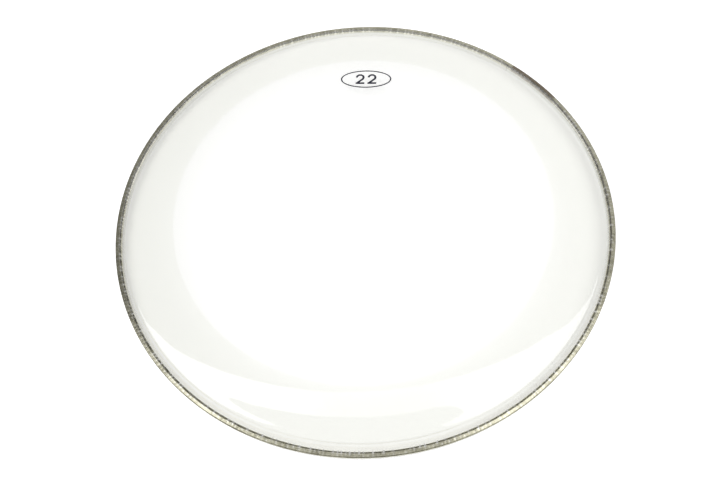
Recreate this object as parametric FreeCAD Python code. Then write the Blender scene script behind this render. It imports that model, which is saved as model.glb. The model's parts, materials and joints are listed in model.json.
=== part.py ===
import FreeCAD, Part
import math
import os

from FreeCAD import Vector

# Clear bass-drum head: a film and an underlay ring, locked with resin into an aluminium flesh hoop.
# Millimetres, +Z up. The origin is the middle of the hoop's foot, so the head lies on the plane z = 0
# with its playing face upwards. +Y points from the middle of the head to its size mark.

# Drum that the head fits
SHELL_DIAMETER = 558.8  # outside of a 22 inch shell
SHELL_PLAY = 2.1  # all round, between the shell and the hoop's bore

# Flesh hoop: one strip rolled to a channel that opens upwards, with the outer leg turned in as a lip
STRIP = 0.9  # thickness of the strip
HOOP_WIDTH = 6.0  # over both legs
HOOP_HEIGHT = 12.0  # from the foot to the top of the lip
INNER_LEG_DROP = 2.0  # the inner leg ends this far below the top of the lip
BEND_RADIUS = 0.4  # inside radius of the strip's bends
MOUTH_GAP = 0.5  # from the film to the edge of the lip
SEAM_WIDTH = 0.4  # between the two ends of the strip
SEAM_ANGLE = 49.0  # degrees about +Z, from +X

# Film and underlay ring
FILM = 0.25  # thickness of the batter film
UNDERLAY = 0.25  # thickness of the underlay ring
PLY_GAP = 0.05  # air between the two
FACE_RISE = 4.5  # the playing face stands this far above the lip
BEARING_INSET = 3.9  # the flat face ends this far inside the shell's outer wall
CROWN_RADIUS = 3.0  # inside radius of the bend over the bearing edge
THROAT_RADIUS = 1.45  # inside radius of the bend down into the channel
UNDERLAY_WIDTH = 56.0  # flat width of the underlay ring
LEG_GAP = 0.25  # from the inner leg to the underlay's skirt
EDGE_GAP = 1.6  # from the channel's floor to the lower edge of both skirts

# Resin, and the holes in both skirts that it runs through
RESIN_DROP = 0.5  # inside the skirts, the resin stops this far below the inner leg's top
LOCK_HOLE_DIAMETER = 3.0
LOCK_HOLE_PITCH = 15.0

# Size mark: an oval line of ink around the number
MARK_WIDTH = 66.0
MARK_HEIGHT = 30.0
MARK_LINE = 1.8  # width of the oval line
MARK_FROM_EDGE = 89.5  # from the end of the flat face to the middle of the mark
INK = 0.06  # thickness of the print
DIGIT_HEIGHT = 17.0
DIGIT_WIDTH = 11.5
DIGIT_STROKE = 2.8
DIGIT_GAP = 4.0

# Radii and heights that follow from these
bore_radius = SHELL_DIAMETER / 2 + SHELL_PLAY
hoop_radius = bore_radius + HOOP_WIDTH
inner_leg_face = bore_radius + STRIP
outer_leg_face = hoop_radius - STRIP
bend_outside = BEND_RADIUS + STRIP
inner_leg_top = HOOP_HEIGHT - INNER_LEG_DROP

plies = FILM + PLY_GAP + UNDERLAY
skirt_radius = inner_leg_face + LEG_GAP + plies
skirt_edge = STRIP + EDGE_GAP
lip_radius = skirt_radius + MOUTH_GAP
face_height = HOOP_HEIGHT + FACE_RISE
flat_radius = SHELL_DIAMETER / 2 - BEARING_INSET

UP = Vector(0, 0, 1)


def at(radius, height):
    """Point of a section. Sections are drawn in the XZ plane and turned about Z."""
    return Vector(radius, 0, height)


def line(start, end):
    return Part.LineSegment(start, end).toShape()


def arc(centre, radius, first, last):
    """Arc of a section between two angles, in degrees from the outward direction."""
    points = []
    for angle in (first, (first + last) / 2, last):
        turn = math.radians(angle)
        points.append(centre + Vector(radius * math.cos(turn), 0, radius * math.sin(turn)))
    return Part.Arc(*points).toShape()


def joined(pieces):
    """Closed outline through lines and arcs, with straight runs between the ends that don't meet."""
    edges = []
    for piece, following in zip(pieces, pieces[1:] + pieces[:1]):
        edges.append(piece)
        gap_start = piece.valueAt(piece.LastParameter)
        gap_end = following.valueAt(following.FirstParameter)
        if gap_start.distanceToPoint(gap_end) > 1e-7:
            edges.append(line(gap_start, gap_end))
    return Part.Wire(edges)


def turned(pieces):
    """Solid of revolution about Z from a section's outline."""
    return Part.Face(joined(pieces)).revolve(Vector(), UP, 360)


def flesh_hoop():
    """Channel with rounded strip edges, cut once where the ends of the strip meet."""
    half = STRIP / 2
    foot_inner = at(bore_radius + bend_outside, bend_outside)
    foot_outer = at(hoop_radius - bend_outside, bend_outside)
    shoulder = at(hoop_radius - bend_outside, HOOP_HEIGHT - bend_outside)
    ring = turned([
        arc(foot_inner, bend_outside, 180, 270),
        arc(foot_outer, bend_outside, 270, 360),
        arc(shoulder, bend_outside, 0, 90),
        arc(at(lip_radius + half, HOOP_HEIGHT - half), half, 90, 270),
        arc(shoulder, BEND_RADIUS, 90, 0),
        arc(foot_outer, BEND_RADIUS, 360, 270),
        arc(foot_inner, BEND_RADIUS, 270, 180),
        arc(at(bore_radius + half, inner_leg_top - half), half, 0, 180),
    ])
    seam = Part.makeBox(2 * HOOP_WIDTH, SEAM_WIDTH, 2 * HOOP_HEIGHT)
    seam.translate(Vector(bore_radius - HOOP_WIDTH / 2, -SEAM_WIDTH / 2, -HOOP_HEIGHT / 2))
    seam.rotate(Vector(), UP, SEAM_ANGLE)
    return ring.cut(seam)


def ply(top, thickness, inner_radius):
    """Film with a flat face, a collar and a skirt, its upper side `top` below the playing face.

    The collar is the straight line that touches both the crown bend and the throat bend.
    """
    crown = at(flat_radius, face_height - plies - CROWN_RADIUS)
    throat = at(skirt_radius - plies - THROAT_RADIUS, inner_leg_top)
    reach = throat - crown
    tilt = math.asin((CROWN_RADIUS - THROAT_RADIUS) / reach.Length) - math.atan2(reach.z, reach.x)
    collar = 90 - math.degrees(tilt)
    bottom = top + thickness
    outside = plies - top
    inside = plies - bottom
    return turned([
        arc(crown, CROWN_RADIUS + outside, 90, collar),
        arc(throat, THROAT_RADIUS + outside, collar, 0),
        line(at(skirt_radius - top, skirt_edge), at(skirt_radius - bottom, skirt_edge)),
        arc(throat, THROAT_RADIUS + inside, 0, collar),
        arc(crown, CROWN_RADIUS + inside, collar, 90),
        line(at(inner_radius, face_height - bottom), at(inner_radius, face_height - top)),
    ])


def lock_pins(inner_radius, outer_radius):
    """Round pins through the skirts, halfway up, one at each locking hole."""
    middle_radius = skirt_radius - plies / 2
    height = (skirt_edge + inner_leg_top) / 2
    count = round(2 * math.pi * middle_radius / LOCK_HOLE_PITCH)
    pins = []
    for index in range(count):
        turn = 2 * math.pi * index / count
        outward = Vector(math.cos(turn), math.sin(turn), 0)
        start = outward * inner_radius + UP * height
        pins.append(Part.makeCylinder(LOCK_HOLE_DIAMETER / 2, outer_radius - inner_radius, start, outward))
    return pins


def holed(skirted):
    """Ply with its locking holes."""
    return skirted.cut(lock_pins(skirt_radius - 2 * plies, skirt_radius + plies))


def batter_film():
    return holed(ply(0, FILM, 0))


def underlay_ring():
    return holed(ply(FILM + PLY_GAP, UNDERLAY, flat_radius - UNDERLAY_WIDTH))


def locking_resin():
    """Fill of the channel around both skirts, with a plug through each locking hole."""
    inner_level = inner_leg_top - RESIN_DROP
    floor = STRIP + BEND_RADIUS
    fill = turned([
        arc(at(inner_leg_face + BEND_RADIUS, floor), BEND_RADIUS, 180, 270),
        arc(at(outer_leg_face - BEND_RADIUS, floor), BEND_RADIUS, 270, 360),
        line(at(outer_leg_face, inner_leg_top), at(skirt_radius, inner_leg_top)),
        line(at(skirt_radius, skirt_edge), at(skirt_radius - plies, skirt_edge)),
        line(at(skirt_radius - plies, inner_level), at(inner_leg_face, inner_level)),
    ])
    return fill.fuse(lock_pins(skirt_radius - plies - LEG_GAP / 2, skirt_radius + MOUTH_GAP))


def flat_face(points):
    return Part.Face(Part.makePolygon(points + points[:1]))


def stroke(start, end):
    """Straight stroke of a digit, drawn on the plane z = 0."""
    along = (end - start).normalize()
    side = UP.cross(along) * (DIGIT_STROKE / 2)
    return flat_face([start - side, end - side, end + side, start + side])


def digit_two():
    """The figure 2, with its lower left corner at the origin: a bowl, a slant and a base."""
    half = DIGIT_STROKE / 2
    bowl_radius = DIGIT_WIDTH / 2 - half
    bowl = Vector(DIGIT_WIDTH / 2, DIGIT_HEIGHT - DIGIT_WIDTH / 2, 0)
    corner = Vector(half, half, 0)
    reach = bowl - corner
    heading = math.atan2(reach.y, reach.x) - math.asin(bowl_radius / reach.Length)
    touch = bowl + Vector(math.sin(heading), -math.cos(heading), 0) * bowl_radius
    ring = Part.makeCircle(bowl_radius + half, bowl, UP, math.degrees(heading) - 90, 180)
    inner = Part.makeCircle(bowl_radius - half, bowl, UP, math.degrees(heading) - 90, 180)
    ends = [line(ring.valueAt(end), inner.valueAt(end)) for end in (ring.FirstParameter, ring.LastParameter)]
    hook = Part.Face(Part.Wire([ring, ends[1], inner, ends[0]]))
    base = stroke(Vector(0, half, 0), Vector(DIGIT_WIDTH, half, 0))
    return hook.fuse([stroke(corner, touch), base])


def oval(inset):
    """Face of the mark's oval, `inset` within its outer edge."""
    edge = Part.Ellipse(Vector(), MARK_WIDTH / 2 - inset, MARK_HEIGHT / 2 - inset).toShape()
    return Part.Face(Part.Wire(edge))


def size_mark():
    """Printed oval line, with the shell's size in inches in its middle."""
    prints = [oval(0).cut(oval(MARK_LINE))]
    for left in (-DIGIT_GAP / 2 - DIGIT_WIDTH, DIGIT_GAP / 2):
        digit = digit_two().removeSplitter()
        digit.translate(Vector(left, -DIGIT_HEIGHT / 2, 0))
        prints.append(digit)
    ink = Part.makeCompound([flat.extrude(UP * INK) for flat in prints])
    ink.translate(Vector(0, flat_radius - MARK_FROM_EDGE, face_height))
    return ink


os.makedirs("parts", exist_ok=True)
for make in (flesh_hoop, batter_film, underlay_ring, locking_resin, size_mark):
    shape = make().removeSplitter()
    shape.exportStep(f"parts/{make.__name__}.step")
    print(make.__name__, "solids", len(shape.Solids), "valid", shape.isValid(), "volume", round(shape.Volume, 1))
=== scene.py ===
# %% [markdown]
# # A clear bass-drum head, dressed for its portrait
# The head is a sheet of clear film locked into a rolled aluminium hoop. The solids already have their real
# size, so this lesson only has to give them the surfaces that an eye or a lens would notice: pressed metal,
# clear film, poured resin and printed ink.

# %% Load the solids
import bmesh
import bpy
import json
import math
import random
import numpy as np
from mathutils import Matrix, Vector


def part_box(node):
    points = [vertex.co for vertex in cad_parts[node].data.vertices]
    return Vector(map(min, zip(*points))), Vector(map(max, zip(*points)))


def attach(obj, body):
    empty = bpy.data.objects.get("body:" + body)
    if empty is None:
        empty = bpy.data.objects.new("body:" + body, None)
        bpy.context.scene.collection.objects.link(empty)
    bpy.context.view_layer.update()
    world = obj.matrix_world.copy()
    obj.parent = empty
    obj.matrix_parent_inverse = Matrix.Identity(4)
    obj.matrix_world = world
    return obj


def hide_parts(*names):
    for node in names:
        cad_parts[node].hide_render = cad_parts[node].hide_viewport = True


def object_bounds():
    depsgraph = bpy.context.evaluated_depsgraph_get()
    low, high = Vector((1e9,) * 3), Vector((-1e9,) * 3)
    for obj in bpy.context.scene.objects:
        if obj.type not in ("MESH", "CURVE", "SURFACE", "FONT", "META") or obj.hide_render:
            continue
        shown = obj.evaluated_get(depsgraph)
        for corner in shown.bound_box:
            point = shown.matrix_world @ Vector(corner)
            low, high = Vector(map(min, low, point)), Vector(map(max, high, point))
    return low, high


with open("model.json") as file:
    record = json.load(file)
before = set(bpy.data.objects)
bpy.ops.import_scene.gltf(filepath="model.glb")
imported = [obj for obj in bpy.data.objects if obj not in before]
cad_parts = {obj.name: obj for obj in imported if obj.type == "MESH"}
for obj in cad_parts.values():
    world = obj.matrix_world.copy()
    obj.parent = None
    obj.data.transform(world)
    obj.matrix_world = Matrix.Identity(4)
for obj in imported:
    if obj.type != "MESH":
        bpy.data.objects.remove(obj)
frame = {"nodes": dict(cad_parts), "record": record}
solid_low, solid_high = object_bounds()
print("solid box, mm:", [round(1000 * side, 2) for side in solid_high - solid_low])

# %% [markdown]
# ## Sizes
# A maker would take sizes from the drawing, and the drawing here is the set of solids. The outer sizes are
# read from their boxes and from the record's mounts. The few thin sizes that a box can't show, such as the
# thickness of the strip or of the film, are written down next to them. The film's bends are a little
# rounder here than in the solids, because its reflections ask for that.

# %% Sizes from the frame
mm = 0.001
hoop_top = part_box("flesh_hoop")[1]
film_low, film_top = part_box("batter_film")
mounts = {mount["name"]: mount for mount in frame["record"]["mounts"]}
hoop_radius = hoop_top.x
lip_height = hoop_top.z
bore_radius = mounts["shell_bore"]["dims"]["r_mm"] * mm
face_height = film_top.z
skirt_radius = film_top.x
skirt_edge = film_low.z
ring_points = [vertex.co for vertex in frame["nodes"]["underlay_ring"].data.vertices]
underlay_edge = min(math.hypot(point.x, point.y) for point in ring_points)

strip = 0.9 * mm
bend_inside = 0.4 * mm
bend_outside = bend_inside + strip
inner_leg_drop = 2.0 * mm
mouth_gap = 0.5 * mm
seam_width = 0.4 * mm
seam_angle = math.radians(49)
film = 0.25 * mm
ply_gap = 0.05 * mm
plies = 2 * film + ply_gap
crown_radius = 6.0 * mm
throat_radius = 3.0 * mm
flat_radius = 273.6 * mm
inner_leg_top = lip_height - inner_leg_drop
lip_radius = skirt_radius + mouth_gap
print(f"hoop {2000 * hoop_radius:.1f} mm across, bore {2000 * bore_radius:.1f} mm, "
      f"underlay from radius {1000 * underlay_edge:.1f} mm")

# %% [markdown]
# ## Camera
# The photograph looks down on the head from in front, a little rolled. Such a view can be found by fitting
# a pinhole camera to the hoop's outline, which is a circle of known size. The fit gives the lens, the
# distance, the elevation and the roll. The head is also turned a little about its own axis, so that its
# mark stands off centre.

# %% Camera
image_width = 720
focal_pixels = 620.3
camera_distance = 735.6 * mm
camera_elevation = math.radians(60.945)
camera_roll = math.radians(-5.683)
head_turn = math.radians(7.0)
camera_turn = Matrix.Rotation(head_turn, 3, "Z")
aim_right = -2.15 * mm
aim_up = -39.6 * mm

back = Vector((0, -math.cos(camera_elevation), math.sin(camera_elevation)))
level = Vector((1, 0, 0))
upright = back.cross(level)
right = level * math.cos(camera_roll) + upright * math.sin(camera_roll)
up = upright * math.cos(camera_roll) - level * math.sin(camera_roll)
eye = right * aim_right + up * aim_up + back * camera_distance
axes = camera_turn @ Matrix((right, up, back)).transposed()

camera = bpy.data.objects.new("camera", bpy.data.cameras.new("camera"))
camera.data.sensor_width = 36
camera.data.lens = camera.data.sensor_width * focal_pixels / image_width
camera.data.clip_start = 50 * mm
camera.matrix_world = Matrix.Translation(camera_turn @ eye) @ axes.to_4x4()
bpy.context.scene.collection.objects.link(camera)
bpy.context.scene.camera = camera
bpy.context.scene.view_settings.view_transform = "Standard"
print("camera at, mm:", [round(1000 * value) for value in camera.matrix_world.translation])

# %% [markdown]
# ## Turning a section
# Every ring of this head is a section turned about Z. The Screw modifier could do that, but each ring also
# has marks that differ from one place to the next, so the points are worked out in one array: rows along
# the section, columns round the circle. A section is drawn with short runs and bends, as on paper.

# %% Section helpers
def run(start, end, steps):
    """Points of a straight run, without its last point."""
    shares = np.linspace(0, 1, steps, endpoint=False)[:, None]
    return np.array(start) * (1 - shares) + np.array(end) * shares


def bend(centre, radius, first, last, steps):
    """Points of an arc, both ends included. Angles are degrees from the outward direction."""
    turn = np.radians(np.linspace(first, last, steps + 1))
    return np.array(centre) + radius * np.stack([np.cos(turn), np.sin(turn)], axis=1)


def turned_grid(section, angles, press):
    """Points of a turned section: [column, row, xyz]. press(angles, r, z) gives small shifts of r and z."""
    radius = np.broadcast_to(section[:, 0], (len(angles), len(section)))
    height = np.broadcast_to(section[:, 1], radius.shape)
    turn = angles[:, None]
    shift_r, shift_z = press(turn, radius, height)
    radius = radius + shift_r
    height = height + shift_z
    return np.stack([radius * np.cos(turn), radius * np.sin(turn), height], axis=2)


def smooth(value, low, high):
    """0 below low, 1 above high, eased between."""
    share = np.clip((value - low) / (high - low), 0, 1)
    return share * share * (3 - 2 * share)


# %% [markdown]
# A mesh is made from the array in one go. Its UVs hold real lengths, in metres: u runs round the circle and
# v along the section, so a finish can follow the way the strip was rolled. A mesh can also carry named
# numbers on its points, called attributes. They tell a finish where the press or the heat has left its
# mark.

# %% Mesh helpers
def lengths_uv(angles, radius, section):
    """UV of each point of a grid: length round the circle, and length along the section."""
    steps = np.linalg.norm(np.diff(section, axis=0), axis=1)
    along = np.concatenate([[0], np.cumsum(steps)])
    pair = np.broadcast_arrays(angles[:, None] * radius, along[None, :])
    return np.stack(pair, axis=2).reshape(-1, 2)


def mesh_piece(name, points, faces, uvs):
    """Smooth-shaded object from points, faces and one UV per point."""
    mesh = bpy.data.meshes.new(name)
    mesh.from_pydata(points.tolist(), [], faces)
    mesh.validate()
    layer = mesh.uv_layers.new(name="lengths")
    corners = np.zeros(len(mesh.loops), dtype=np.int32)
    mesh.loops.foreach_get("vertex_index", corners)
    layer.data.foreach_set("uv", uvs[corners].astype(np.float32).ravel())
    mesh.polygons.foreach_set("use_smooth", [True] * len(mesh.polygons))
    piece = bpy.data.objects.new(name, mesh)
    bpy.context.scene.collection.objects.link(piece)
    print(f"{name}: {len(mesh.vertices)} points, {len(mesh.polygons)} faces")
    return piece


def mark_points(piece, name, values):
    """Stores one number per point, which a finish can read by its name."""
    attribute = piece.data.attributes.new(name, "FLOAT", "POINT")
    attribute.data.foreach_set("value", np.asarray(values, dtype=np.float32).ravel())


# %% [markdown]
# ## Press marks
# The hoop's lip is closed by a press that works its way round, one bite at a time. Each bite leaves a
# shallow radial tick, a stretch of lip that is tilted a little its own way, a bright spot that is a painted
# glint, and on many bites a small tab of metal pushed further in. The film beside it is drawn in by a hair
# between two ticks.
# A noise texture would scatter marks evenly. Seeded bites of uneven length look pressed.

# %% Bites round the hoop
dice = random.Random(22)
bite_count = 372


def draws(low, high):
    """One number per bite."""
    return np.array([dice.uniform(low, high) for _ in range(bite_count)])


bite_lengths = draws(0.72, 1.28)
bite_ends = seam_angle + 2 * math.pi * np.concatenate([[0], np.cumsum(bite_lengths) / bite_lengths.sum()])
tick_depth = draws(0.01, 0.045) * mm
tick_width = draws(0.35, 0.7) * mm
bite_tilt = draws(-0.006, 0.006) * mm
lip_roll = draws(-0.0025, 0.0025)
film_draw = draws(0.18, 0.45) * mm
# Strength and place of each bite's painted glint, a bright spot standing in for light caught there.
glint_strength = draws(0.1, 1)
glint_radius = hoop_radius + draws(-2.8, -1.7) * mm
tab_strength = np.array([dice.choice((0.0, 0.35, 1.0)) for _ in range(bite_count)])
tab_width = 1.3 * mm
print(f"{bite_count} bites, {1000 * 2 * math.pi * hoop_radius / bite_count:.1f} mm long on average")

# %% Places along the bites
def bite_at(angles):
    """Number of the bite at each angle, and how far along it the angle lies, from 0 to 1."""
    turn = (angles - seam_angle) % (2 * math.pi) + seam_angle
    number = np.clip(np.searchsorted(bite_ends, turn, side="right") - 1, 0, bite_count - 1)
    start = bite_ends[number]
    return number, (turn - start) / (bite_ends[number + 1] - start)


def columns(near, between):
    """Angles of the columns: on each tick, at the distance `near` on both sides, and some in between."""
    close = near / hoop_radius
    angles = []
    for start, end in zip(bite_ends[:-1], bite_ends[1:]):
        shares = np.linspace(0, 1, between + 2)[1:-1]
        inside = start + close + (end - start - 2 * close) * shares
        angles.append(np.concatenate([[start, start + close], inside, [end - close]]))
    return np.concatenate(angles)


# %% [markdown]
# ## Flesh hoop
# The hoop is one strip of aluminium, rolled to a channel that opens upwards, with its outer leg turned in
# as a lip. Its two ends meet at a butt seam. A swept curve would give the channel, but not the ticks, so it
# is turned here as an open ring, with the strip's outside and inside in step, and closed at the seam with
# two end faces.

# %% Hoop section
foot_in = (bore_radius + bend_outside, bend_outside)
foot_out = (hoop_radius - bend_outside, bend_outside)
shoulder_bend = 0.7 * mm
shoulder = (hoop_radius - shoulder_bend, lip_height - shoulder_bend)
edge_bend = 0.2 * mm
edge_radius = lip_radius + edge_bend


def strip_side(radius, offset):
    """One side of the strip, from the inner leg's top to the lip's edge, offset from the outside."""
    leg = bore_radius + offset
    wall = hoop_radius - offset
    turn = shoulder_bend if offset == 0 else bend_inside
    return np.concatenate([
        run((leg, inner_leg_top - edge_bend), (leg, bend_outside), 2),
        bend(foot_in, radius, 180, 270, 4),
        bend(foot_out, radius, 270, 360, 4),
        run((wall, bend_outside), (wall, shoulder[1]), 5)[1:],
        bend((wall - turn, lip_height - offset - turn), turn, 0, 90, 4),
        run((wall - turn, lip_height - offset), (edge_radius, lip_height - offset), 6)[1:],
        [(edge_radius, lip_height - offset)],
    ])


outside = strip_side(bend_outside, 0)
inside = strip_side(bend_inside, strip)
lip_edge = np.concatenate([
    bend((edge_radius, lip_height - edge_bend), edge_bend, 90, 180, 3)[1:],
    bend((edge_radius, lip_height - strip + edge_bend), edge_bend, 180, 270, 3)[:-1],
])
leg_edge = np.concatenate([
    bend((bore_radius + strip - edge_bend, inner_leg_top - edge_bend), edge_bend, 0, 90, 3)[1:],
    bend((bore_radius + edge_bend, inner_leg_top - edge_bend), edge_bend, 90, 180, 3)[:-1],
])
hoop_section = np.concatenate([outside, lip_edge, inside[::-1], leg_edge])
print(f"hoop section: {len(hoop_section)} points")

# %% [markdown]
# The press doesn't only mark the lip. It closes it, so the lip slopes down towards the film, more at its
# edge than at its shoulder, and its edge is pushed in over the mouth. All of this is one small shift of
# each point.

# %% Pressing the lip
dents_reach_down = 6.0 * mm
lip_sink = 0.03 * mm
lip_width = shoulder[0] - lip_radius
lip_outer_tilt = math.radians(1.8)
lip_inner_tilt = math.radians(2.8)
lip_curve = (lip_inner_tilt - lip_outer_tilt) / (2 * lip_width)
lip_reach = 0.65 * mm
tab_reach = 0.3 * mm
leg_share = 0.3


def press_lip(angles, radius, height):
    """Ticks, tilts and rolls of the bites, pressed square to the lip, the shoulder and the upper leg."""
    number, share = bite_at(angles)
    following = np.minimum(number + 1, bite_count - 1)
    length = (bite_ends[number + 1] - bite_ends[number]) * hoop_radius
    behind = share * length
    ahead = (1 - share) * length
    depth = lip_sink + bite_tilt[number] * (share - 0.5)
    tab = 0
    for distance, which in ((behind, number), (ahead, following)):
        depth = depth + tick_depth[which] * np.exp(-((distance / tick_width[which]) ** 2))
        tab = tab + tab_strength[which] * np.exp(-((distance / tab_width) ** 2))
    inward = np.maximum(shoulder[0] - radius, 0)
    depth = depth + (lip_roll[number] + lip_outer_tilt) * inward + lip_curve * inward ** 2
    out = np.maximum(radius - shoulder[0], 0)
    rise = np.maximum(height - shoulder[1], 0)
    reach = np.maximum(np.hypot(out, rise), 1e-9)
    weight = smooth(height, lip_height - dents_reach_down, shoulder[1]) * (radius > skirt_radius)
    at_edge = smooth(inward, lip_width / 2, lip_width) * smooth(height, lip_height - strip, lip_height)
    pushed_in = (lip_reach + tab * tab_reach) * at_edge
    return -leg_share * depth * weight * out / reach - pushed_in, -depth * weight * rise / reach


# %% [markdown]
# Two marks are stored for the hoop's finish. The press dulls what it touches, and there the tone is also
# darker, partly oxide and partly painted shade for the dim room that the lip's top mirrors. Small bright
# spots where each bite lets go are painted glints, standing in for light caught there. Painting them by
# hand in Texture Paint would need an image. Numbers on the points need none.

# %% Marks on the hoop
dulled_lip = (3.2 * mm, 1.2 * mm)
dulled_leg = (0.9 * mm, 0.4 * mm)
top_band = 0.4 * mm
# Size of each painted glint, round the hoop and across the lip.
glint_length = 0.6 * mm
glint_across = 0.75 * mm
tab_band = (1.0 * mm, 0.4 * mm)


def pressed_and_shaded_share(section):
    """1 where the press dulled the strip and its tone is darker, partly painted shade: the lip, the shoulder
    and the inner leg's top. 0 on the walls.
    """
    radius, height = section[:, 0], section[:, 1]
    outer = radius > skirt_radius
    lip = smooth(height, lip_height - dulled_lip[0], lip_height - dulled_lip[1]) * outer
    leg = smooth(height, inner_leg_top - dulled_leg[0], inner_leg_top - dulled_leg[1]) * ~outer
    return np.maximum(lip, leg)


def painted_glint_share(angles, section):
    """1 at the bright spots where each bite let go, which are painted glints: on the lip, on its tabs and on
    the inner leg's top.
    """
    radius, height = section[None, :, 0], section[None, :, 1]
    number, share = bite_at(angles)
    following = (number + 1) % bite_count
    length = (bite_ends[number + 1] - bite_ends[number]) * hoop_radius
    on_lip = height > lip_height - top_band
    on_leg = (height > inner_leg_top - top_band) * (radius < skirt_radius)
    on_tab = smooth(-radius, -lip_radius - tab_band[0], -lip_radius - tab_band[1])
    total = 0
    for distance, which in ((share * length, number), ((1 - share) * length, following)):
        across = (radius - glint_radius[which]) / glint_across
        total = total + glint_strength[which] * np.exp(-((distance / glint_length) ** 2) - across ** 2)
        total = total + tab_strength[which] * np.exp(-((distance / tab_width) ** 2)) * on_tab
    return np.clip(total, 0, 1) * np.maximum(on_lip, on_leg)


# %% Hoop mesh
def end_faces(rows):
    """Faces that close one end of the strip: quads between its two sides, then its two rounded edges."""
    sides = len(outside)
    partner = [sides + len(lip_edge) + sides - 1 - index for index in range(sides)]
    faces = [[index, index + 1, partner[index + 1], partner[index]] for index in range(sides - 1)]
    faces.append(list(range(sides - 1, sides + len(lip_edge) + 1)))
    faces.append([partner[0]] + list(range(rows - len(leg_edge), rows)) + [0])
    return faces


def hoop_piece():
    angles = np.append(columns(near=0.55 * mm, between=1), bite_ends[-1])
    half_seam = seam_width / 2 / hoop_radius
    angles[0] += half_seam
    angles[-1] -= half_seam
    grid = turned_grid(hoop_section, angles, press_lip)
    count, rows = grid.shape[:2]
    column, row = np.meshgrid(np.arange(count - 1) * rows, np.arange(rows), indexing="ij")
    following = (row + 1) % rows
    corners = [column + row, column + rows + row, column + rows + following, column + following]
    faces = np.stack(corners, axis=-1).reshape(-1, 4).tolist()
    ends = end_faces(rows)
    faces += ends
    faces += [[(count - 1) * rows + index for index in reversed(face)] for face in ends]
    uvs = lengths_uv(angles, hoop_radius, hoop_section)
    piece = mesh_piece("rolled_hoop", grid.reshape(-1, 3), faces, uvs)
    # The pressed parts, whose darker tone is partly painted shade, and the painted glints of the bites.
    mark_points(piece, "pressed", np.broadcast_to(pressed_and_shaded_share(hoop_section), (count, rows)))
    mark_points(piece, "painted_glint", painted_glint_share(angles[:, None], hoop_section))
    return piece


hoop = hoop_piece()
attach(hoop, "root")
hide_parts("flesh_hoop")

# %% [markdown]
# ## Film and underlay
# The batter film is one sheet of clear polyester, formed to a collar at its rim. A second ring of film lies
# under its margin. Both have their real thickness, a quarter of a millimetre, because a clear sheet shows
# both of its faces. A plane with the Solidify modifier would do on a flat sheet, but here the collar has to
# run down into the channel, so each sheet is turned from its own section: a crown bend, a straight collar
# and a throat bend.

# %% Sheet sections
dip_start = 250 * mm
dip_steps = 16


def sheet_side(depth, inner_radius, flat_steps):
    """One side of a sheet, `depth` below the playing face, from inner_radius out and down to its edge."""
    crown = np.array([flat_radius, face_height - plies - crown_radius])
    throat = np.array([skirt_radius - plies - throat_radius, inner_leg_top])
    reach = throat - crown
    tilt = math.asin((crown_radius - throat_radius) / math.hypot(*reach)) - math.atan2(reach[1], reach[0])
    collar = 90 - math.degrees(tilt)
    out = plies - depth
    top = bend(crown, crown_radius + out, 90, collar, 7)
    foot = bend(throat, throat_radius + out, collar, 0, 7)
    flat = np.concatenate([
        run((inner_radius, face_height - depth), (dip_start, face_height - depth), flat_steps),
        run((dip_start, face_height - depth), top[0], dip_steps),
    ])
    slope = run(top[-1], foot[0], 5)[1:]
    skirt = run(foot[-1], (skirt_radius - depth, skirt_edge), 3)[1:]
    return np.concatenate([flat, top, slope, foot, skirt, [(skirt_radius - depth, skirt_edge)]])


# %% [markdown]
# A head that isn't on a drum is never quite flat. Beside the near rim the face sinks by a tenth of a
# millimetre and rises again to the crown. No eye would see that as a shape, but the mirrored strip of light
# breaks there into a second white line. The collar below is drawn in a little between every two ticks of
# the press.

# %% Collar and dip
dip_middle = 268 * mm
dip_depth = 0.11 * mm
dip_towards = head_turn - math.radians(90)
dip_fades = (math.radians(30), math.radians(48))
dip_narrowing = 11 * mm
dip_narrows = (math.radians(8), math.radians(24))
draw_above_leg = (-0.6 * mm, 1.2 * mm)
draw_below_face = (4.0 * mm, 0.8 * mm)
draw_down = 0.6


def dip(angles, radius):
    """How far the flat sinks along the near rim: a shallow hollow up to the crown, narrower to the left."""
    turn = (angles - dip_towards + math.pi) % (2 * math.pi) - math.pi
    start = dip_start + dip_narrowing * smooth(-turn, *dip_narrows)
    gone = smooth(np.abs(turn), *dip_fades)
    rising = np.clip((flat_radius - radius) / (flat_radius - dip_middle), 0, 1)
    return dip_depth * smooth(radius, start, dip_middle) * rising * (1 - gone)


def draw_collar(angles, radius, height):
    """The collar drawn in between two ticks, most at the throat, not on the flat face or in the resin."""
    number, share = bite_at(angles)
    weight = smooth(height, inner_leg_top + draw_above_leg[0], inner_leg_top + draw_above_leg[1])
    weight = weight * (1 - smooth(height, face_height - draw_below_face[0], face_height - draw_below_face[1]))
    shift = -film_draw[number] * np.sqrt(np.abs(np.sin(math.pi * share))) * weight
    return shift, shift * draw_down - dip(angles, radius)


# %% [markdown]
# The collar is shaped with heat, which leaves it a little less clear than the flat, with a fine line where
# the crown begins. Its tint is also painted shade for the shaded floor seen through it, and the line is a
# painted dark line at the bend. Beside the lip's tabs the film has short upright white creases, partly
# whitened by the press and partly painted highlights. Both are stored as marks.

# %% Marks on the film
sheet_angles = columns(near=1.2 * mm, between=0)
on_tick = 0.01
crown_line = 0.55
line_rises = (0, 0.1 * mm)
line_falls = (0.2 * mm, 0.8 * mm)
collar_begins = (0.9 * mm, 1.7 * mm)
crease_foot = (-1.0 * mm, 0.2 * mm)
crease_top = (2.1 * mm, 2.7 * mm)


def collar_haze_and_shade_share(depth):
    """How much the forming heat dulled the film, with painted shade, by depth below the face: a crown line,
    then the collar.
    """
    line = smooth(depth, *line_rises) * (1 - smooth(depth, *line_falls))
    return crown_line * line + smooth(depth, *collar_begins)


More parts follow.
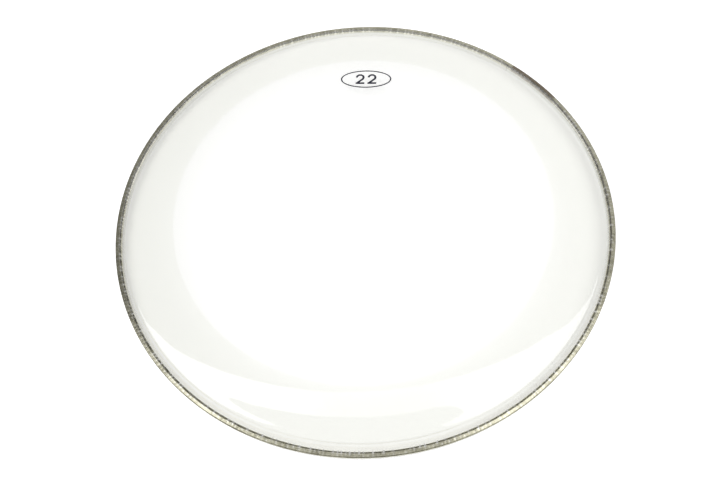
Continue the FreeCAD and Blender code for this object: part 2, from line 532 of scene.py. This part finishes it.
def pinch_glint_share(angles):
    """Strength of the tab on each column that stands on a tick, and 0 in between."""
    number, share = bite_at(angles)
    return tab_strength[number] * (share < on_tick)


def crease_and_glint_share(angles, section):
    """1 where the press creased the film white, partly as a painted highlight, low on the collar beside the
    lip's tabs.
    """
    rise = section[None, :, 1] - inner_leg_top
    return pinch_glint_share(angles) * smooth(rise, *crease_foot) * (1 - smooth(rise, *crease_top))


# %% Faces of a sheet
crisp_angle = math.radians(40)


def quads_between(near, far):
    """Faces between two closed rings of point numbers."""
    return np.stack([near, np.roll(near, -1), np.roll(far, -1), far], axis=1).tolist()


def drop_loose(piece):
    """Removes points that no face uses, turns all faces outwards and keeps cut edges crisp."""
    shape = bmesh.new()
    shape.from_mesh(piece.data)
    loose = [point for point in shape.verts if not point.link_faces]
    bmesh.ops.delete(shape, geom=loose, context="VERTS")
    bmesh.ops.recalc_face_normals(shape, faces=shape.faces)
    for edge in shape.edges:
        edge.smooth = edge.calc_face_angle(0) < crisp_angle
    shape.to_mesh(piece.data)
    shape.free()


def sheet_faces(numbers, closed):
    """Faces of a sheet. A closed sheet has a fan in the middle of both sides, and an open one a cut edge."""
    count, rows = numbers.shape
    first = 1 if closed else 0
    faces = []
    for row in range(first, rows - 1 - first):
        faces += quads_between(numbers[:, row], numbers[:, row + 1])
    if not closed:
        return faces + quads_between(numbers[:, rows - 1], numbers[:, 0])
    for pole, ring in ((0, 1), (rows - 1, rows - 2)):
        middle = np.full(count, numbers[0, pole])
        fan = np.stack([middle, numbers[:, ring], np.roll(numbers[:, ring], -1)], axis=1)
        faces += fan[:, ::-1].tolist() if pole == 0 else fan.tolist()
    return faces


# %% Sheet meshes
def sheet_piece(name, depth, inner_radius, flat_steps):
    """Sheet with real thickness. At inner radius 0 both faces close in one point in the middle."""
    upper = sheet_side(depth, inner_radius, flat_steps)
    lower = sheet_side(depth + film, inner_radius, flat_steps)
    section = np.concatenate([upper, lower[::-1]])
    grid = turned_grid(section, sheet_angles, draw_collar)
    count, rows = grid.shape[:2]
    faces = sheet_faces(np.arange(count * rows).reshape(count, rows), inner_radius == 0)
    piece = mesh_piece(name, grid.reshape(-1, 3), faces, lengths_uv(sheet_angles, flat_radius, section))
    # The collar's haze and painted shade is stored as a mark, and so are the creases, partly painted
    # highlights.
    collar_haze_and_shade = collar_haze_and_shade_share(face_height - depth - upper[:, 1])
    mark_points(piece, "collar_haze_and_shade", np.broadcast_to(np.concatenate([collar_haze_and_shade, collar_haze_and_shade[::-1]]), (count, rows)))
    mark_points(piece, "crease_and_glint", crease_and_glint_share(sheet_angles[:, None], section))
    drop_loose(piece)
    return piece


batter = sheet_piece("clear_batter_film", 0, 0, 3)
underlay = sheet_piece("clear_underlay_ring", film + ply_gap, underlay_edge, 2)
sheets = ((batter, "batter_film", "clear_film"), (underlay, "underlay_ring", "clear_underlay"))
for sheet, node_name, slot_name in sheets:
    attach(sheet, "root")
    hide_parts(node_name)

# %% [markdown]
# ## Locking resin
# Resin is poured into the channel around the skirts of both films and sets there. It climbs a little
# against the film, and never evenly. Only its top shows, as a thin line in the mouth between film and lip,
# so the fill is turned as one ring with a slot for the skirts, and its top is given a slow, uneven level.
# Where a tab presses on it, it is marked to be paler, a painted highlight.

# %% Resin level
resin_climb = 1.75 * mm
resin_ends = (0.35 * mm, 0.6 * mm)
resin_top = 0.3 * mm
inner_fill_drop = 0.05 * mm
room = 0.02 * mm


def resin_level(angles):
    """How far the resin climbs at each angle, from 0.76 to 0.96."""
    wave = sum(math.sin(0.7 * k) * np.sin(k * angles + 1.9 * k * k) for k in (3, 5, 8, 13, 21, 34, 55, 89))
    return 0.86 + 0.1 * np.tanh(0.8 * wave)


def pour(angles, radius, height):
    """Raises the top of the fill beside the film, and lets it fall to its level in a soft step."""
    near_film = 1 - smooth(radius, skirt_radius + resin_ends[0], skirt_radius + resin_ends[1])
    top = smooth(height, inner_leg_top - resin_top, inner_leg_top) * (radius > skirt_radius)
    return np.zeros_like(radius * angles), resin_climb * near_film * top * resin_level(angles)


# %% Resin mesh
def resin_section():
    leg = bore_radius + strip + room
    wall = hoop_radius - strip - room
    corner = strip + room + bend_inside
    outer_skirt = skirt_radius + room
    inner_skirt = skirt_radius - plies - room
    slot_floor = skirt_edge - room
    inner_level = inner_leg_top - inner_fill_drop
    return np.concatenate([
        run((leg, inner_level), (leg, corner), 2),
        bend((leg + bend_inside, corner), bend_inside, 180, 270, 3),
        bend((wall - bend_inside, corner), bend_inside, 270, 360, 3),
        run((wall, corner), (wall, inner_leg_top), 2)[1:],
        run((wall, inner_leg_top), (outer_skirt, inner_leg_top), 14),
        run((outer_skirt, inner_leg_top), (outer_skirt, slot_floor), 2),
        run((outer_skirt, slot_floor), (inner_skirt, slot_floor), 1),
        run((inner_skirt, slot_floor), (inner_skirt, inner_level), 2),
        run((inner_skirt, inner_level), (leg, inner_level), 2),
    ])


def resin_piece():
    section = resin_section()
    grid = turned_grid(section, sheet_angles, pour)
    count, rows = grid.shape[:2]
    numbers = np.arange(count * rows).reshape(count, rows)
    faces = []
    for row in range(rows):
        faces += quads_between(numbers[:, row], numbers[:, (row + 1) % rows])
    uvs = lengths_uv(sheet_angles, skirt_radius, section)
    piece = mesh_piece("poured_resin", grid.reshape(-1, 3), faces, uvs)
    # Where a tab presses, the resin is marked for a painted highlight.
    mark_points(piece, "pinch_glint", np.broadcast_to(pinch_glint_share(sheet_angles)[:, None], (count, rows)))
    drop_loose(piece)
    return piece


resin = resin_piece()
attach(resin, "root")
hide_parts("locking_resin")

# %% [markdown]
# ## Finishes
# Each finish is a small tree of nodes. A helper adds a node and sets its sockets, and a plain value goes
# straight on the shader's own socket. Finishes read UVs in metres, the object's own coordinates or the
# marks on its points, so they stay on the surface from any side.

# %% Node helpers
def finish_tree(name):
    """New material, and its empty tree."""
    material = bpy.data.materials.new(name)
    material.use_nodes = True
    material.node_tree.nodes.clear()
    return material, material.node_tree


def add(tree, kind, settings=None, **sockets):
    """Adds a node with its settings. A socket, by name or as i0, i1, takes a value or an output."""
    made = tree.nodes.new("ShaderNode" + kind)
    for key, value in (settings or {}).items():
        setattr(made, key, value)
    for key, value in sockets.items():
        numbered = key[0] == "i" and key[1:].isdigit()
        socket = made.inputs[int(key[1:]) if numbered else key.replace("_", " ")]
        if isinstance(value, bpy.types.NodeSocket):
            tree.links.new(value, socket)
        else:
            socket.default_value = value
    return made


def finished(material, shader):
    """Material with this shader on its surface."""
    add(material.node_tree, "OutputMaterial", Surface=shader.outputs[0])
    return material


def maths(tree, operation, *values):
    """Result of a Math node."""
    sockets = {f"i{index}": value for index, value in enumerate(values)}
    return add(tree, "Math", {"operation": operation}, **sockets).outputs[0]


def ramp(tree, value, stops):
    """Colour ramp through (position, grey or colour) stops."""
    made = add(tree, "ValToRGB", i0=value)
    elements = made.color_ramp.elements
    while len(elements) < len(stops):
        elements.new(0.5)
    for element, (position, colour) in zip(elements, stops):
        element.position = position
        element.color = (*colour, 1) if isinstance(colour, tuple) else (colour, colour, colour, 1)
    return made.outputs["Color"]


# %% More node helpers
def mapped(tree, value, low, high, start=0.0, end=1.0, way="LINEAR"):
    """Goes from start to end while value goes from low to high."""
    limits = {"From_Min": low, "From_Max": high, "To_Min": start, "To_Max": end}
    return add(tree, "MapRange", {"interpolation_type": way}, Value=value, **limits).outputs["Result"]


def eased(tree, *values):
    """The same, with a smooth start and end."""
    return mapped(tree, *values, way="SMOOTHSTEP")


def blended(tree, share, first, second):
    """Mix of two colours."""
    return add(tree, "Mix", {"data_type": "RGBA"}, Factor=share, i6=first, i7=second).outputs[2]


def marked(tree, name):
    """Number that mark_points stored."""
    return add(tree, "Attribute", {"attribute_name": name}).outputs["Fac"]


# %% [markdown]
# ## Aluminium
# Mill-finished aluminium is dull and a little warm: it has fine lines along the strip from the rolls,
# cloudy patches of oxide and small scuffs. Where the press worked, the tone is darker, partly oxide and
# partly painted shade for the dim room that the lip's top mirrors, and the bites' bright spots are painted
# glints. The lines are noise that is stretched some hundred times along u, which runs round the hoop. A
# short stretch beside the seam is browned, as where the strip was handled and heated.

# %% Aluminium finish
stain_from = (bite_ends[-1] - math.radians(14)) * hoop_radius
stain_to = (bite_ends[-1] - math.radians(1.2)) * hoop_radius
stain_waver = 30 * mm
stain_fades_in = 12 * mm
stain_fades_out = 2 * mm


def aluminium():
    material, tree = finish_tree("mill_aluminium")
    lengths = add(tree, "UVMap", {"uv_map": "lengths"}).outputs["UV"]
    rolled = add(tree, "Mapping", Vector=lengths, Scale=(12, 9000, 1)).outputs["Vector"]
    rolled_lines = add(tree, "TexNoise", Vector=rolled, Scale=1.0, Detail=4.0, Roughness=0.6).outputs["Fac"]
    place = add(tree, "TexCoord").outputs["Object"]
    clouds = add(tree, "TexNoise", Vector=place, Scale=70.0, Detail=5.0, Roughness=0.62).outputs["Fac"]
    spots = add(tree, "TexNoise", Vector=place, Scale=420.0, Detail=3.0, Roughness=0.7).outputs["Fac"]
    patches = maths(tree, "MULTIPLY_ADD", spots, 0.45, maths(tree, "MULTIPLY", clouds, 0.55))
    # Darker tones where the press worked: partly oxide, partly painted shade for the dim room mirrored there.
    oxide_and_shade = [(0.38, (0.36, 0.345, 0.255)), (0.5, (0.55, 0.53, 0.40)), (0.62, (0.72, 0.70, 0.55))]
    mill = ramp(tree, rolled_lines, [(0.3, (0.84, 0.838, 0.83)), (0.7, (0.92, 0.918, 0.91))])
    pressed = marked(tree, "pressed")
    tone = blended(tree, pressed, mill, ramp(tree, patches, oxide_and_shade))
    # Painted glints: the marked spots are lightened almost to white.
    tone = blended(tree, marked(tree, "painted_glint"), tone, (0.93, 0.92, 0.86, 1))
    along = add(tree, "SeparateXYZ", Vector=lengths).outputs["X"]
    wavering = maths(tree, "MULTIPLY_ADD", clouds, stain_waver, along)
    into = eased(tree, wavering, stain_from, stain_from + stain_fades_in)
    past = eased(tree, along, stain_to - stain_fades_out, stain_to)
    stain = maths(tree, "MULTIPLY", into, maths(tree, "SUBTRACT", 1.0, past))
    streaks = ramp(tree, rolled_lines, [(0.36, 0.45), (0.58, 0.95)])
    stain = maths(tree, "MULTIPLY", maths(tree, "MULTIPLY", stain, pressed), streaks)
    colour = blended(tree, stain, tone, (0.16, 0.115, 0.085, 1))
    grain = maths(tree, "MULTIPLY_ADD", rolled_lines, 0.05, maths(tree, "MULTIPLY", spots, 0.1))
    dull = maths(tree, "ADD", grain, maths(tree, "MULTIPLY_ADD", pressed, 0.02, 0.03))
    bump = add(tree, "Bump", Strength=0.25, Distance=0.02 * mm, Height=rolled_lines).outputs["Normal"]
    metal = add(tree, "BsdfPrincipled", Base_Color=colour, Metallic=1.0, Roughness=dull, Normal=bump)
    return finished(material, metal)


hoop.data.materials.append(aluminium())
print("aluminium finish:", len(hoop.data.materials[0].node_tree.nodes), "nodes")

# %% [markdown]
# ## Clear film
# A clear sheet mirrors a little of the room at each of its faces, more at a glancing angle, and lets the
# rest through. The Glass shader would bend light and cast a dark shadow, which such a thin sheet doesn't
# do. So a Transparent shader is mixed with a Glossy one, and the share of gloss follows a common rule: a
# small part head on, and the fifth power of the facing angle on top of it. The collar is tinted, partly
# by its haze and partly as painted shade, and the creases are mixed in as a white Diffuse shader, partly
# whitened film and partly painted highlight. A few dust specks and hairline scratches keep the flat
# from looking like nothing at all.

# %% Film finish
# Collar tint: partly haze, partly painted shade. Crease white: partly whitened film, partly painted
# highlight.
collar_tint_and_shade = (0.973, 0.972, 0.960, 1)
crease_glint_white = (0.95, 0.95, 0.95, 1)
speck_radius = 0.5 * mm
specks_per_metre = 18


def clear_film(name, tint, head_on_gloss, glancing_gloss, speck_share):
    material, tree = finish_tree(name)
    facing = add(tree, "LayerWeight", Blend=0.5).outputs["Facing"]
    glance = maths(tree, "POWER", facing, 5.0)
    gloss_share = maths(tree, "MULTIPLY_ADD", glance, glancing_gloss - head_on_gloss, head_on_gloss)
    place = add(tree, "TexCoord").outputs["Object"]
    stretched = add(tree, "Mapping", Vector=place, Scale=(900, 60, 60), Rotation=(0, 0, 0.9))
    hairs = add(tree, "TexNoise", Vector=stretched.outputs["Vector"], Scale=1.0, Detail=2.0).outputs["Fac"]
    hairs = mapped(tree, hairs, 0.68, 0.78)
    blur = maths(tree, "MULTIPLY_ADD", hairs, 0.12, 0.02)
    # The collar's tint and crown line: partly haze, partly painted shade.
    clear = blended(tree, marked(tree, "collar_haze_and_shade"), (*tint, 1), collar_tint_and_shade)
    through = add(tree, "BsdfTransparent", Color=clear)
    mirror = add(tree, "BsdfGlossy", Color=(1, 1, 1, 1), Roughness=blur)
    sheet = add(tree, "MixShader", i0=gloss_share, i1=through.outputs[0], i2=mirror.outputs[0])
    cells = add(tree, "TexVoronoi", Vector=place, Scale=specks_per_metre, Randomness=1.0)
    near = maths(tree, "LESS_THAN", cells.outputs["Distance"], speck_radius * specks_per_metre)
    chosen = add(tree, "SeparateXYZ", Vector=cells.outputs["Color"]).outputs["X"]
    speck = maths(tree, "MULTIPLY", near, maths(tree, "LESS_THAN", chosen, speck_share))
    dust = add(tree, "BsdfDiffuse", Color=(0.42, 0.40, 0.37, 1))
    dust_share = maths(tree, "MULTIPLY", speck, 0.55)
    dusty = add(tree, "MixShader", i0=dust_share, i1=sheet.outputs[0], i2=dust.outputs[0])
    # White creases: partly whitened film, partly painted highlights.
    whitened = add(tree, "BsdfDiffuse", Color=crease_glint_white)
    crease = maths(tree, "MULTIPLY", marked(tree, "crease_and_glint"), 0.9)
    whole = add(tree, "MixShader", i0=crease, i1=dusty.outputs[0], i2=whitened.outputs[0])
    return finished(material, whole)


batter.data.materials.append(clear_film("clear_polyester", (0.999, 0.9995, 0.996), 0.05, 1.0, 0.14))
underlay_tint = (0.996, 0.9975, 0.985)
underlay.data.materials.append(clear_film("clear_polyester_underlay", underlay_tint, 0.006, 0.25, 0.06))
print("film finishes:", batter.data.materials[0].name, underlay.data.materials[0].name)

# %% [markdown]
# The underlay's inner edge is a cut edge. A cut through clear film is frosted, so it catches light and
# shows as a fine line. It gets a finish of its own, on the narrow faces round the hole alone.

# %% Frosted cut edge
def frosted_cut():
    material, tree = finish_tree("frosted_cut")
    place = add(tree, "TexCoord").outputs["Object"]
    grain = add(tree, "TexNoise", Vector=place, Scale=2500.0, Detail=2.0).outputs["Fac"]
    share = ramp(tree, grain, [(0.3, 0.03), (0.7, 0.1)])
    through = add(tree, "BsdfTransparent", Color=(0.97, 0.975, 0.96, 1))
    frost = add(tree, "BsdfTranslucent", Color=(0.93, 0.94, 0.91, 1))
    mixed = add(tree, "MixShader", i0=share, i1=through.outputs[0], i2=frost.outputs[0])
    return finished(material, mixed)


underlay.data.materials.append(frosted_cut())
for face in underlay.data.polygons:
    if abs(face.normal.z) < 0.5 and math.hypot(face.center.x, face.center.y) < underlay_edge + mm:
        face.material_index = 1
print("cut edge:", sum(face.material_index for face in underlay.data.polygons), "faces")

# %% [markdown]
# ## Resin
# The resin is amber-grey and glossy where it set against air, with fine bubbles. Its pale tone is partly
# its own colour and partly painted light that lifts the shaded line in the mouth, and it is paler still
# where a tab presses on it, a painted highlight. Only a thin line of it shows, so a cloudy tone and a bump
# from small round cells are enough.

# %% Resin finish
def set_resin():
    material, tree = finish_tree("set_resin")
    place = add(tree, "TexCoord").outputs["Object"]
    clouds = add(tree, "TexNoise", Vector=place, Scale=300.0, Detail=4.0, Roughness=0.6).outputs["Fac"]
    # Pale tones: partly the resin's colour, partly painted light that lifts the shaded mouth.
    amber = [(0.36, (0.40, 0.38, 0.35)), (0.5, (0.54, 0.52, 0.47)), (0.65, (0.66, 0.64, 0.58))]
    bubbles = add(tree, "TexVoronoi", Vector=place, Scale=1600.0).outputs["Distance"]
    bump = add(tree, "Bump", Strength=0.4, Distance=0.05 * mm, Height=bubbles).outputs["Normal"]
    dull = maths(tree, "MULTIPLY_ADD", clouds, 0.3, 0.12)
    # Painted highlight: near white where a tab presses on the resin.
    tone = blended(tree, marked(tree, "pinch_glint"), ramp(tree, clouds, amber), (0.96, 0.95, 0.92, 1))
    body = add(tree, "BsdfPrincipled", Base_Color=tone, Roughness=dull, Normal=bump)
    return finished(material, body)


resin.data.materials.append(set_resin())
print("resin finish:", len(resin.data.materials[0].node_tree.nodes), "nodes")

# %% [markdown]
# ## Ink
# The mark is screen-printed: dense, a little uneven, and faintly glossy. Its solid has the right shape as
# it is, so it stays and only gets a better finish.

# %% Ink finish
def printed_ink():
    material, tree = finish_tree("printed_ink")
    place = add(tree, "TexCoord").outputs["Object"]
    film_of_ink = add(tree, "TexNoise", Vector=place, Scale=900.0, Detail=4.0, Roughness=0.65).outputs["Fac"]
    tone = ramp(tree, film_of_ink, [(0.3, (0.010, 0.010, 0.022)), (0.7, (0.026, 0.025, 0.046))])
    dull = maths(tree, "MULTIPLY_ADD", film_of_ink, 0.3, 0.32)
    bump = add(tree, "Bump", Strength=0.3, Distance=0.01 * mm, Height=film_of_ink).outputs["Normal"]
    ink = add(tree, "BsdfPrincipled", Base_Color=tone, Roughness=dull, Normal=bump)
    return finished(material, ink)


mark = frame["nodes"]["size_mark"]
mark.data.materials.clear()
mark.data.materials.append(printed_ink())
print("mark:", len(mark.data.polygons), "faces")

# %% [markdown]
# ## Studio floor
# The head lies on white paper. The paper has a little light of its own, only for rays from the lens, from
# mirrors and through glass, so the picture's white comes from the paper and not from more light on the
# head. Inside the hoop this light is set weaker by position, as painted shade for the film and the hoop:
# strongest in the middle and weakest at the left.

# %% Floor
floor_drop = 0.05 * mm
floor_half = 6.0
level_outside = 0.62
level_near = 0.43
level_far = 0.41
near_far_ends = (-300 * mm, 300 * mm)
more_in_middle = 0.11
middle_ends = (100 * mm, 255 * mm)
less_at_left = 0.06
left_ends = (-300 * mm, -100 * mm)


def seen_rays(tree):
    """1 for rays from the camera, from mirrors and through glass, and 0 for the light that they gather."""
    path = add(tree, "LightPath").outputs
    mirrored = maths(tree, "MAXIMUM", path["Is Camera Ray"], path["Is Glossy Ray"])
    return maths(tree, "MAXIMUM", mirrored, path["Is Transmission Ray"])


def white_paper():
    material, tree = finish_tree("white_paper")
    paper = add(tree, "BsdfDiffuse", Color=(0.8, 0.8, 0.8, 1))
    place = add(tree, "SeparateXYZ", Vector=add(tree, "TexCoord").outputs["Object"]).outputs
    # Painted shade inside the hoop: the paper's own light is set lower by position, least at the left and
    # most in the middle.
    across = mapped(tree, place["X"], *left_ends, -less_at_left, 0.0)
    along = mapped(tree, place["Y"], *near_far_ends, level_near, level_far)
    inside_level = maths(tree, "ADD", across, along)
    squares = maths(tree, "MULTIPLY_ADD", place["X"], place["X"], maths(tree, "POWER", place["Y"], 2.0))
    from_middle = maths(tree, "SQRT", squares)
    lighter = eased(tree, from_middle, *middle_ends, more_in_middle, 0.0)
    inside_level = maths(tree, "ADD", inside_level, lighter)
    beyond = mapped(tree, from_middle, bore_radius, hoop_radius)
    mixed = add(tree, "Mix", {"data_type": "FLOAT"}, Factor=beyond, i2=inside_level, i3=level_outside)
    seen_level = maths(tree, "MULTIPLY", seen_rays(tree), mixed.outputs[0])
    lift = add(tree, "Emission", Color=(1, 1, 1, 1), Strength=seen_level)
    both = add(tree, "AddShader", i0=paper.outputs[0], i1=lift.outputs[0])
    return finished(material, both)


floor_height = solid_low.z - floor_drop
corners = [(x * floor_half, y * floor_half, floor_height) for x, y in ((-1, -1), (1, -1), (1, 1), (-1, 1))]
floor_mesh = bpy.data.meshes.new("floor")
floor_mesh.from_pydata(corners, [], [(0, 1, 2, 3)])
floor_mesh.materials.append(white_paper())
floor = bpy.data.objects.new("floor", floor_mesh)
bpy.context.scene.collection.objects.link(floor)
print(f"floor: {2 * floor_half:.0f} m square")

# %% [markdown]
# The world is the same sweep of paper carried on: pale grey at the horizon, nearly white higher up, dim
# overhead, and darker to the left, which is what the film and the metal mirror. For all other rays it is
# one even, dim light. An image of a studio would do this too, but a ramp by height is easier to set.

# %% World
def studio_world():
    world = bpy.data.worlds.new("studio")
    world.use_nodes = True
    tree = world.node_tree
    tree.nodes.clear()
    direction = add(tree, "TexCoord").outputs["Generated"]
    parts = add(tree, "SeparateXYZ", Vector=direction).outputs
    sweep = ramp(tree, parts["Z"], [
        (0.0, 0.7), (0.3, 0.75), (0.5, 0.9), (0.6, 0.95),
        (0.7, 0.68), (0.86, 0.5), (0.95, 0.58), (1.0, 0.62),
    ])
    side = eased(tree, parts["X"], -0.6, 0.25, 0.35, 1.0)
    high = eased(tree, parts["Z"], 0.45, 0.75)
    shade = add(tree, "Mix", {"data_type": "FLOAT"}, Factor=high, i2=1.0, i3=side).outputs[0]
    mirrored = add(tree, "Background", Color=sweep, Strength=shade)
    ambient = add(tree, "Background", Color=(1, 1, 1, 1), Strength=0.25)
    both = add(tree, "MixShader", i0=seen_rays(tree), i1=ambient.outputs[0], i2=mirrored.outputs[0])
    add(tree, "OutputWorld", Surface=both.outputs[0])
    return world


bpy.context.scene.world = studio_world()
print("world:", bpy.context.scene.world.name)

# %% [markdown]
# ## Strip of light
# The photograph's film mirrors one crescent-shaped strip of light. It can be traced: a line from the lens
# to the edge of the bright band, mirrored at the film, meets the strip one metre up. Its two edges come out
# as arcs that flare towards the ends, and the strip is brighter there too.

# %% Curved strip light
strip_height = 1000 * mm
strip_half = 680 * mm
near_arc = {"centre": Vector((44, 1037)) * mm, "radius": 1061 * mm}
far_arc = {"centre": Vector((28, 1068)) * mm, "radius": 1026 * mm}
near_flare_left = {"from": 300 * mm, "to": 520 * mm, "reach": -90 * mm}
near_flare_right = {"from": 130 * mm, "to": 300 * mm, "reach": -60 * mm}
far_flare = {"from": 520 * mm, "to": 640 * mm, "reach": 30 * mm}
brighter_from = 100 * mm
brighter_to = 280 * mm


def arc_height(arc, x):
    """Distance away from the lens, along Y, of an arc's near side at x."""
    return arc["centre"].y - math.sqrt(arc["radius"] ** 2 - (x - arc["centre"].x) ** 2)


def lit_strip():
    material, tree = finish_tree("lit_strip")
    strength = eased(tree, marked(tree, "side"), brighter_from, brighter_to, 1.1, 1.9)
    glow = add(tree, "Emission", Color=(1, 1, 1, 1), Strength=strength)
    return finished(material, glow)


def strip_light(steps=48):
    points = []
    sides = []
    for index in range(steps + 1):
        x = -strip_half + 2 * strip_half * index / steps
        near_flare = near_flare_left if x < 0 else near_flare_right
        for arc, flare in ((near_arc, near_flare), (far_arc, far_flare)):
            shift = flare["reach"] * float(smooth(abs(x), flare["from"], flare["to"]))
            sides.append(abs(x))
            points.append(camera_turn @ Vector((x, arc_height(arc, x) + shift, strip_height)))
    mesh = bpy.data.meshes.new("strip_light")
    mesh.from_pydata(points, [], [(2 * k, 2 * k + 1, 2 * k + 3, 2 * k + 2) for k in range(steps)])
    mesh.materials.append(lit_strip())
    light = bpy.data.objects.new("strip_light", mesh)
    mark_points(light, "side", sides)
    light.visible_camera = False
    light.visible_diffuse = False
    light.visible_shadow = False
    bpy.context.scene.collection.objects.link(light)
    print(f"strip light: {2 * strip_half:.2f} m long")


strip_light()

# %% [markdown]
# ## Cards
# A camera is a dark thing, and the film's crown bend mirrors it as one thin dark line along the near rim. A
# dark card around the lens does the same. The lens itself doesn't see it. Cards like this one are only
# there for mirrors, so one helper makes them all. It can also let a card fade out, because a hard edge
# would show in the film.

# %% Dark card around the lens
card_radius = 240 * mm
card_behind = 40 * mm


def mirror_card(name, points, faces, grey, shown):
    """Grey card that mirrors alone can see. shown tells, point by point, how much of it is there."""
    mesh = bpy.data.meshes.new(name)
    mesh.from_pydata(points, [], faces)
    material, tree = finish_tree(name)
    clear = add(tree, "BsdfTransparent", Color=(1, 1, 1, 1))
    felt = add(tree, "BsdfDiffuse", Color=(grey, grey, grey, 1))
    faded = add(tree, "MixShader", i0=marked(tree, "shown"), i1=clear.outputs[0], i2=felt.outputs[0])
    mesh.materials.append(finished(material, faded))
    card = bpy.data.objects.new(name, mesh)
    mark_points(card, "shown", shown)
    card.visible_camera = False
    card.visible_shadow = False
    card.visible_diffuse = False
    bpy.context.scene.collection.objects.link(card)
    print(f"{name}: {len(faces)} faces")


def lens_card(sides=32):
    place = camera.matrix_world @ Matrix.Translation((0, 0, card_behind))
    points = []
    for turn in np.linspace(0, 2 * math.pi, sides, endpoint=False):
        points.append(place @ Vector((card_radius * math.cos(turn), card_radius * math.sin(turn), 0)))
    mirror_card("lens_card", points, [list(range(sides))], 0.05, np.ones(sides))


lens_card()

# %% [markdown]
# Clear things lose their edges on white. A photographer stands dark cards, called flags, just outside the
# picture, and the bent rim of the film mirrors them as soft dark edges. Two flags stand behind the head,
# left and right. They fade towards their sides and top, so that the flat film shows no hard edge from other
# sides.

# %% Flags
flag_across = (-0.5, -0.3, 0.3, 0.5)
flag_up = (0.0, 0.65, 1.0)
shown_across = (0, 1, 1, 0)
shown_up = (1, 1, 0)


def flag(name, place, width, height, grey):
    """Upright dark card that faces the head, whole in its middle and gone at its sides and top."""
    outward = Vector((place[0], place[1], 0)).normalized()
    along = Vector((0, 0, 1)).cross(outward) * width
    points = [Vector(place) + along * x + Vector((0, 0, height * z)) for z in flag_up for x in flag_across]
    shown = [x * z for z in shown_up for x in shown_across]
    count = len(flag_across)
    faces = []
    for row in range(len(flag_up) - 1):
        for first in range(row * count, row * count + count - 1):
            faces.append((first, first + 1, first + count + 1, first + count))
    mirror_card(name, points, faces, grey, shown)


flag("flag_left", (-1.0, 0.55, 0.03), 1.85, 0.85, 0.16)
flag("flag_right", (1.1, 0.6, 0.03), 1.6, 0.7, 0.3)

# %% [markdown]
# The hoop's outer wall is bright and stands on white, so it would vanish. A ring of grey card on the floor,
# seen by mirrors alone, gives it a tone. In front, where the lens looks down on the wall, the card is
# fainter.

# %% Apron
apron_inner = hoop_radius + 1.0 * mm
apron_outer = hoop_radius + 200 * mm
apron_height = solid_low.z - floor_drop / 2
apron_front = math.radians(-85)
apron_faint = 0.4
faint_until = math.radians(40)
whole_from = math.radians(75)


def apron(sides=144):
    """Grey ring of card that lies round the hoop."""
    points = []
    shown = []
    for turn in np.linspace(0, 2 * math.pi, sides, endpoint=False):
        from_front = abs((turn - apron_front + math.pi) % (2 * math.pi) - math.pi)
        for radius in (apron_inner, apron_outer):
            points.append((radius * math.cos(turn), radius * math.sin(turn), apron_height))
            shown.append(apron_faint + (1 - apron_faint) * float(smooth(from_front, faint_until, whole_from)))
    count = len(points)
    faces = [(k, k + 1, (k + 3) % count, (k + 2) % count) for k in range(0, count, 2)]
    mirror_card("apron", points, faces, 0.8, shown)


apron()

# %% [markdown]
# ## Lamps
# Three large lamps light the paper, the resin and the ink: one in front and one on each side. The film and
# the metal would mirror them as bright squares, so mirrors don't see them.

# %% Soft lamps
def soft_lamp(name, place, width, depth, power):
    """Large area lamp aimed at the head, which neither the lens nor a mirror sees."""
    lamp = bpy.data.lights.new(name, "AREA")
    lamp.shape = "RECTANGLE"
    lamp.size = width
    lamp.size_y = depth
    lamp.energy = power
    made = bpy.data.objects.new(name, lamp)
    made.location = place
    made.rotation_euler = (-Vector(place)).to_track_quat("-Z", "Y").to_euler()
    made.visible_camera = False
    made.visible_glossy = False
    bpy.context.scene.collection.objects.link(made)
    print(f"{name}: {power} W")


soft_lamp("lamp_front", (0.1, -1.35, 1.75), 1.4, 1.0, 6.0)
soft_lamp("lamp_right", (1.5, 0.0, 1.15), 1.2, 1.0, 14.5)
soft_lamp("lamp_left", (-1.1, 0.05, 1.35), 1.2, 1.0, 13.5)
